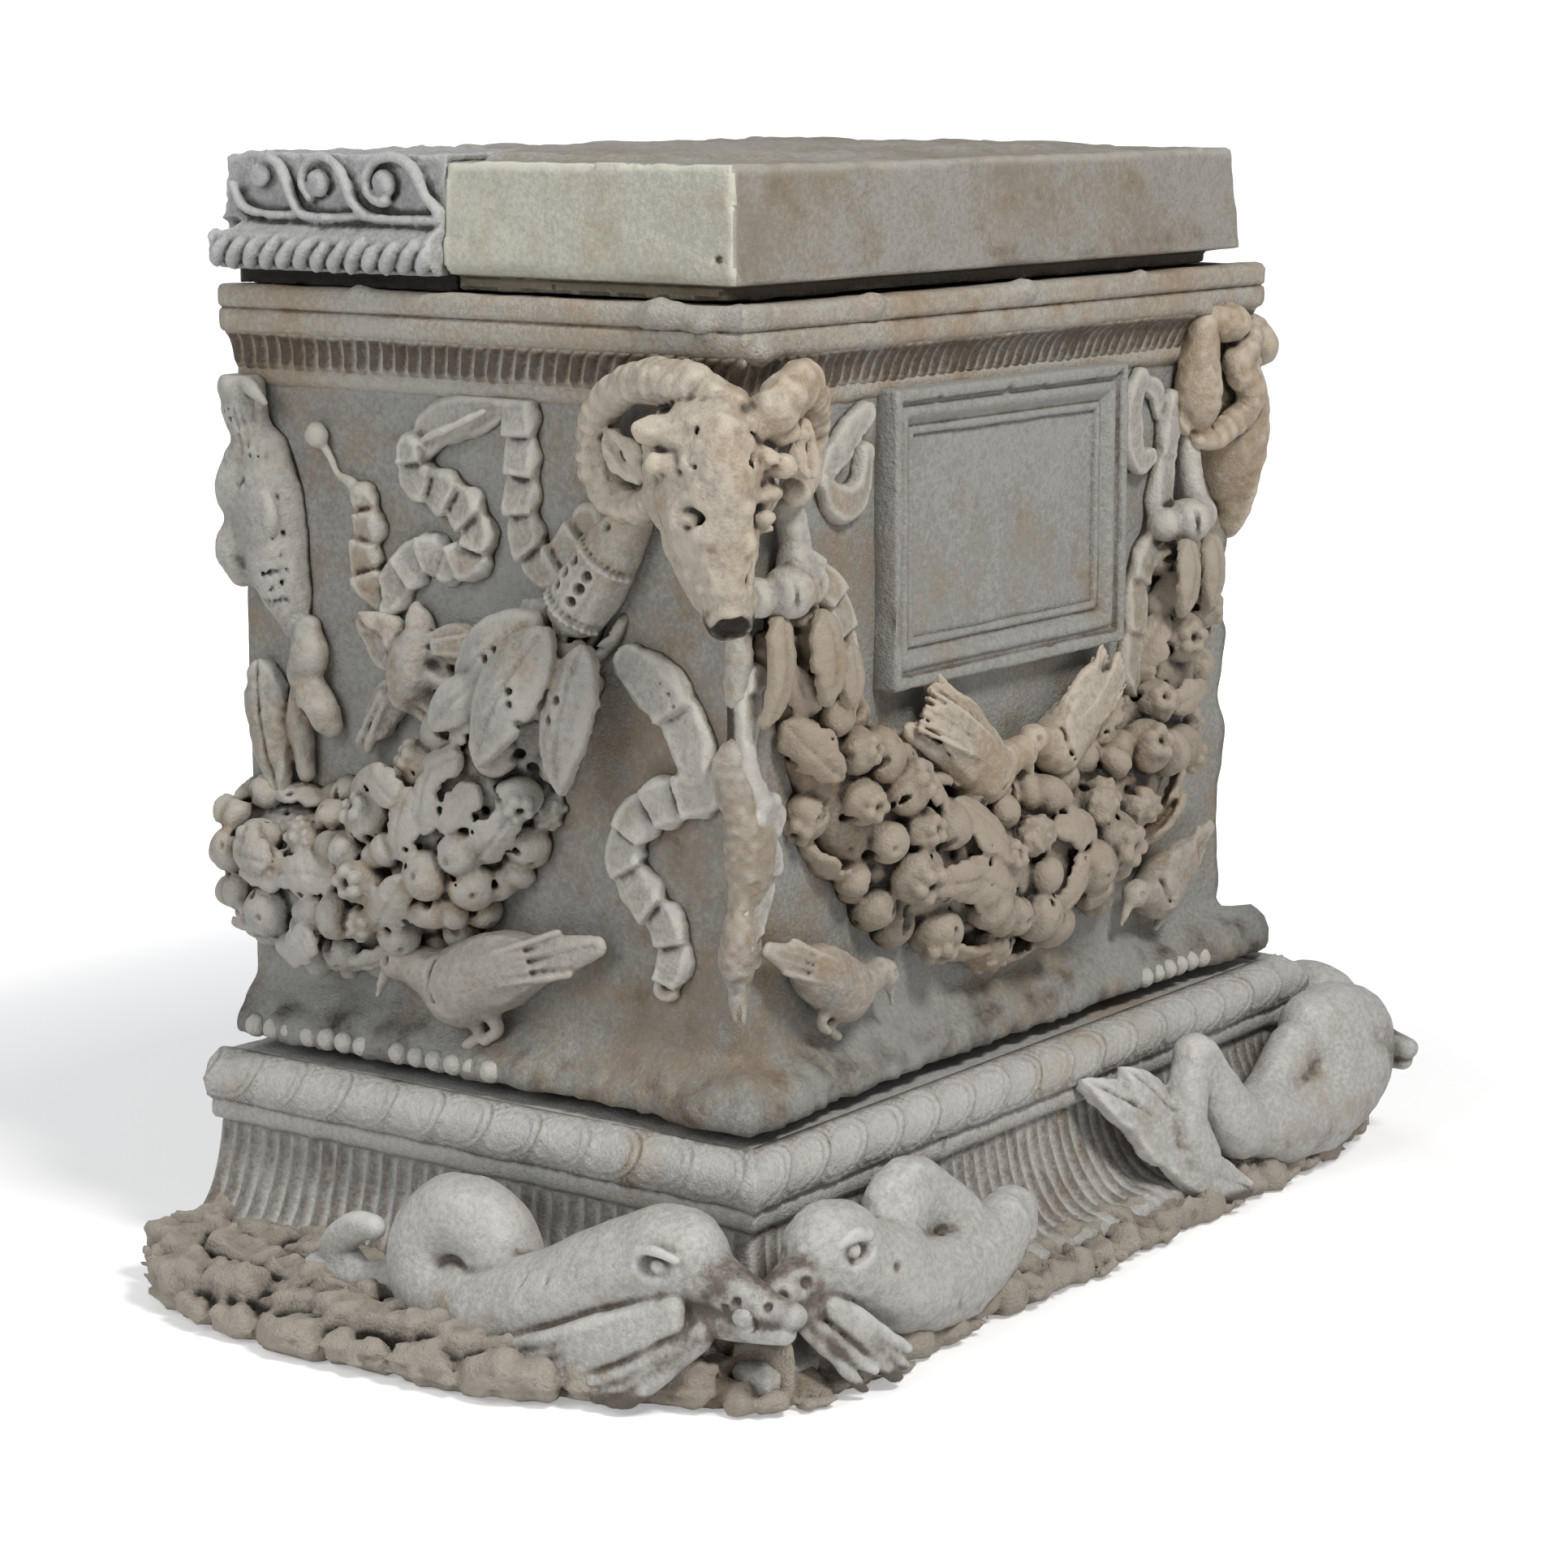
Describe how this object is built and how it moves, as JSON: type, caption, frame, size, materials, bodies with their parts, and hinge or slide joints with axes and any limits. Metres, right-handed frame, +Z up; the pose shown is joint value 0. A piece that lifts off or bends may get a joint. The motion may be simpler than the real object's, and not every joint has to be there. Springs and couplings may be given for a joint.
{
  "type": "cinerary urn",
  "caption": "Carved marble ash chest with a framed bare panel, ram heads and garlands, a mended lid and a moulded plinth with sea creatures.",
  "frame": {"origin": "on the floor plane under the plinth, below the middle of the chest's width", "axes": "+Z up, -Y towards the front with the framed panel, +X to the right of someone who faces the front"},
  "size_m": [0.6321, 0.3518, 0.479],
  "materials": {
    "plinth_marble": "worn white marble, polished coils, brown-black crust in recesses",
    "chest_marble": "weathered carved marble with warm tan patina on the reliefs and grey ground",
    "fragment_marble": "grey weathered marble fragment",
    "restoration_marble": "smooth cream restored marble, stained grey-tan on the front",
    "pad_rubber": "matt black rubber sheet",
    "dowel_steel": "plain drawn steel rod"
  },
  "bodies": {
    "plinth_body": {"plinth": "plinth_marble", "shim_front_left": "pad_rubber", "shim_front_right": "pad_rubber", "shim_back_left": "pad_rubber", "shim_back_right": "pad_rubber"},
    "chest_body": {"chest": "chest_marble"},
    "lid_body": {"lid_fragment": "fragment_marble", "lid_restoration": "restoration_marble", "lid_dowel_1": "dowel_steel", "lid_dowel_2": "dowel_steel"}
  },
  "joints": [
    {"name": "chest_lift", "type": "slide", "parent": "plinth_body", "child": "chest_body", "axis": [0, 0, 1], "range_m": [0, 0.15]},
    {"name": "lid_lift", "type": "slide", "parent": "chest_body", "child": "lid_body", "axis": [0, 0, 1], "range_m": [0, 0.15]}
  ]
}
